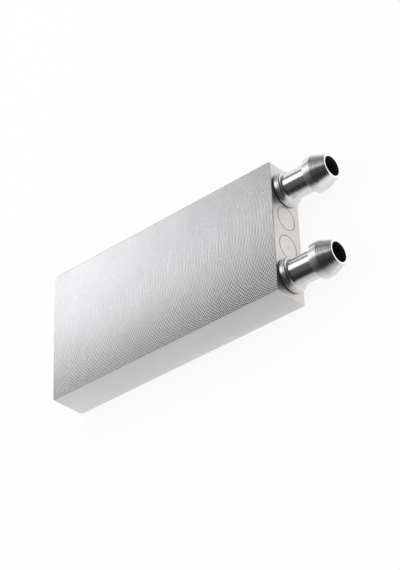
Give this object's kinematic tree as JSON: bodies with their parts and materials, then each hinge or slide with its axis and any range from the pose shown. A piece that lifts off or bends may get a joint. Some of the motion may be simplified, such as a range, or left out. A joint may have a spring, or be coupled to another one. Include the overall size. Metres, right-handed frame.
{
  "type": "liquid cooling cold plate",
  "caption": "Flat drilled aluminium cold plate with a face-milled cold side and turned hose barbs on its narrow end.",
  "frame": {"origin": "middle of the resting back face, half-way along and across the plate", "axes": "+X out of the barb end along the barbs, +Y across the width, +Z out of the milled cold face"},
  "size_m": [0.096, 0.04, 0.011],
  "materials": {
    "plate_aluminium": "face-milled cold face with crossed cutter marks, satin sides and back",
    "barb_aluminium": "turned and polished",
    "plug_aluminium": "turned face, satin",
    "seal_rubber": "matte black"
  },
  "bodies": {
    "root": {"plate": "plate_aluminium", "inlet_barb": "barb_aluminium", "outlet_barb": "barb_aluminium", "inlet_seal": "seal_rubber", "outlet_seal": "seal_rubber", "front_plug_1": "plug_aluminium", "front_plug_2": "plug_aluminium", "rear_plug_1": "plug_aluminium", "rear_plug_2": "plug_aluminium", "rear_plug_3": "plug_aluminium", "rear_plug_4": "plug_aluminium"}
  },
  "joints": []
}
